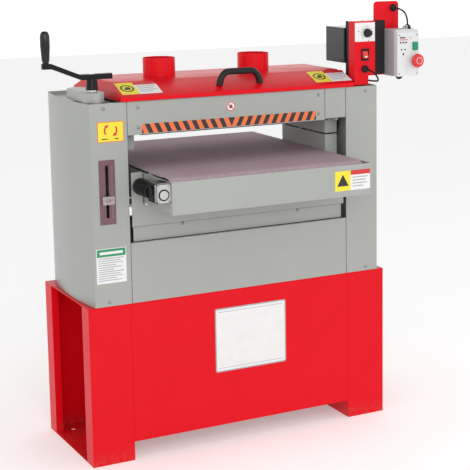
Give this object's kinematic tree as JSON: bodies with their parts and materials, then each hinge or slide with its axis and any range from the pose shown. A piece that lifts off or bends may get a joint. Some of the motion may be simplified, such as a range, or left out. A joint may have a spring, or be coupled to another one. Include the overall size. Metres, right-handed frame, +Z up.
{
  "type": "double drum sander",
  "caption": "Free-standing double drum sander: sheet-steel stand, hollow columns, dust hood over two abrasive drums, power-fed conveyor table raised by a crank on chained screws.",
  "frame": {"origin": "on the floor, at the centre of the four floor-bolt holes under the stand", "axes": "+X to the right of an operator facing the machine, +Y away from the operator to the outfeed side, +Z up"},
  "size_m": [1.234, 0.81, 1.36],
  "materials": {
    "red_paint": "gloss enamel",
    "grey_paint": "semi-gloss enamel",
    "black_steel": "satin black",
    "bright_steel": "ground",
    "zinc": "zinc plated",
    "chrome": "polished",
    "cast_iron": "machined",
    "drum_wrap": "abrasive cloth wound on steel",
    "belt_cloth": "grit-textured conveyor cloth",
    "rubber_black": "matt",
    "motor_paint": "painted casting",
    "gearbox_alloy": "die cast",
    "bronze": "machined",
    "black_plastic": "fine grain",
    "white_plastic": "smooth moulded",
    "green_plastic": "smooth",
    "red_plastic": "smooth",
    "grey_plastic": "smooth"
  },
  "bodies": {
    "base": {"stand_left_leg": "red_paint", "stand_right_leg": "red_paint", "stand_aprons": "red_paint", "stand_top_plate": "red_paint", "left_side_frame": "cast_iron", "right_side_frame": "cast_iron", "left_column_cover": "grey_paint", "right_column_cover": "grey_paint", "front_upper_panel": "grey_paint", "front_filler_panel": "grey_paint", "rear_panels": "grey_paint", "front_mid_strip": "grey_paint", "front_lower_panel": "grey_paint", "drum_bearings": "cast_iron", "main_motor": "motor_paint", "drive_belt": "rubber_black", "screw_bearings": "cast_iron", "lift_chains": "bright_steel", "crank_housing": "grey_paint", "cover_screws": "zinc", "control_bracket": "red_paint", "control_post": "black_steel", "controller_box": "black_plastic", "cable_glands": "grey_plastic", "control_cables": "black_plastic", "switch_box": "white_plastic", "switch_cover": "white_plastic", "rocker_frame": "black_plastic", "hood_hinges": "zinc", "front_pressure_springs": "bright_steel", "rear_pressure_springs": "bright_steel"},
    "table": {"lift_frame": "grey_paint", "lift_nuts": "bronze", "conveyor_bed": "grey_paint", "conveyor_aprons": "grey_paint", "feed_belt": "belt_cloth", "feed_motor": "black_steel", "feed_gearbox": "gearbox_alloy", "roller_bearings": "black_plastic", "height_pointer": "zinc"},
    "drive_roller": {"drive_roller": "rubber_black"},
    "idler_roller": {"idler_roller": "bright_steel"},
    "front_drum": {"front_drum": "drum_wrap"},
    "rear_drum": {"rear_drum": "drum_wrap"},
    "motor_pulley": {"motor_pulley": "cast_iron"},
    "front_pressure": {"front_pressure_blocks": "cast_iron"},
    "rear_pressure": {"rear_pressure_blocks": "cast_iron"},
    "front_pressure_roller": {"front_pressure_roller": "bright_steel"},
    "rear_pressure_roller": {"rear_pressure_roller": "bright_steel"},
    "crank": {"crank_shaft": "chrome", "crank_arm": "black_steel"},
    "crank_grip": {"crank_grip": "black_plastic"},
    "left_screw": {"left_lift_screw": "bright_steel"},
    "right_screw": {"right_lift_screw": "bright_steel"},
    "hood": {"dust_hood": "red_paint", "hood_handle": "black_plastic"},
    "speed_knob": {"speed_knob": "black_plastic"},
    "rocker": {"rocker_switch": "red_plastic"},
    "start_button": {"start_button": "green_plastic"},
    "stop_button": {"stop_button": "red_plastic"}
  },
  "joints": [
    {"name": "table_lift", "type": "slide", "parent": "base", "child": "table", "axis": [0, 0, 1], "range_m": [-0.046, 0.095]},
    {"name": "crank_turn", "type": "hinge", "parent": "base", "child": "crank", "pos_m": [-0.456, -0.152, 1.11], "axis": [0, 0, 1], "range_deg": [-8560, 4150]},
    {"name": "grip_spin", "type": "hinge", "parent": "crank", "child": "crank_grip", "pos_m": [-0.592, -0.152, 1.25], "axis": [0, 0, 1], "continuous": true},
    {"name": "left_screw_turn", "type": "hinge", "parent": "base", "child": "left_screw", "pos_m": [-0.456, -0.03, 0.8], "axis": [0, 0, 1], "range_deg": [-8560, 4150]},
    {"name": "right_screw_turn", "type": "hinge", "parent": "base", "child": "right_screw", "pos_m": [0.456, -0.03, 0.8], "axis": [0, 0, 1], "range_deg": [-8560, 4150]},
    {"name": "front_drum_spin", "type": "hinge", "parent": "base", "child": "front_drum", "pos_m": [0, -0.085, 1.057], "axis": [1, 0, 0], "continuous": true},
    {"name": "rear_drum_spin", "type": "hinge", "parent": "base", "child": "rear_drum", "pos_m": [0, 0.085, 1.057], "axis": [1, 0, 0], "continuous": true},
    {"name": "motor_spin", "type": "hinge", "parent": "base", "child": "motor_pulley", "pos_m": [0.38, 0, 0.6], "axis": [1, 0, 0], "continuous": true},
    {"name": "front_pressure_lift", "type": "slide", "parent": "base", "child": "front_pressure", "axis": [0, 0, 1], "range_m": [0, 0.006], "stiffness_N_per_m": 4000, "springref_m": -0.01, "deforming": ["front_pressure_springs"]},
    {"name": "rear_pressure_lift", "type": "slide", "parent": "base", "child": "rear_pressure", "axis": [0, 0, 1], "range_m": [0, 0.006], "stiffness_N_per_m": 4000, "springref_m": -0.01, "deforming": ["rear_pressure_springs"]},
    {"name": "front_pressure_spin", "type": "hinge", "parent": "front_pressure", "child": "front_pressure_roller", "pos_m": [0, -0.166, 1.009], "axis": [1, 0, 0], "continuous": true},
    {"name": "rear_pressure_spin", "type": "hinge", "parent": "rear_pressure", "child": "rear_pressure_roller", "pos_m": [0, 0.166, 1.009], "axis": [1, 0, 0], "continuous": true},
    {"name": "drive_roller_spin", "type": "hinge", "parent": "table", "child": "drive_roller", "pos_m": [0, -0.365, 0.8575], "axis": [1, 0, 0], "continuous": true},
    {"name": "idler_roller_spin", "type": "hinge", "parent": "table", "child": "idler_roller", "pos_m": [0, 0.365, 0.8575], "axis": [1, 0, 0], "continuous": true},
    {"name": "hood_open", "type": "hinge", "parent": "base", "child": "hood", "pos_m": [0, 0.214, 1.092], "axis": [-1, 0, 0], "range_deg": [0, 75]},
    {"name": "speed_knob_turn", "type": "hinge", "parent": "base", "child": "speed_knob", "pos_m": [0.454, -0.19, 1.263], "axis": [0, -1, 0], "range_deg": [0, 270]},
    {"name": "rocker_tip", "type": "hinge", "parent": "base", "child": "rocker", "pos_m": [0.447, -0.184, 1.194], "axis": [1, 0, 0], "range_deg": [0, 12]},
    {"name": "start_press", "type": "slide", "parent": "base", "child": "start_button", "axis": [0, 1, 0], "range_m": [0, 0.004], "stiffness_N_per_m": 600, "springref_m": -0.003},
    {"name": "stop_press", "type": "slide", "parent": "base", "child": "stop_button", "axis": [0, 1, 0], "range_m": [0, 0.004], "stiffness_N_per_m": 800, "springref_m": -0.003}
  ],
  "couplings": [
    {"joint": "crank_turn", "follows": "table_lift", "rad_per_m": -1570.8},
    {"joint": "left_screw_turn", "follows": "table_lift", "rad_per_m": -1570.8},
    {"joint": "right_screw_turn", "follows": "table_lift", "rad_per_m": -1570.8},
    {"joint": "rear_drum_spin", "follows": "front_drum_spin", "ratio": 1},
    {"joint": "motor_spin", "follows": "front_drum_spin", "ratio": 0.83333},
    {"joint": "idler_roller_spin", "follows": "drive_roller_spin", "ratio": 1}
  ]
}
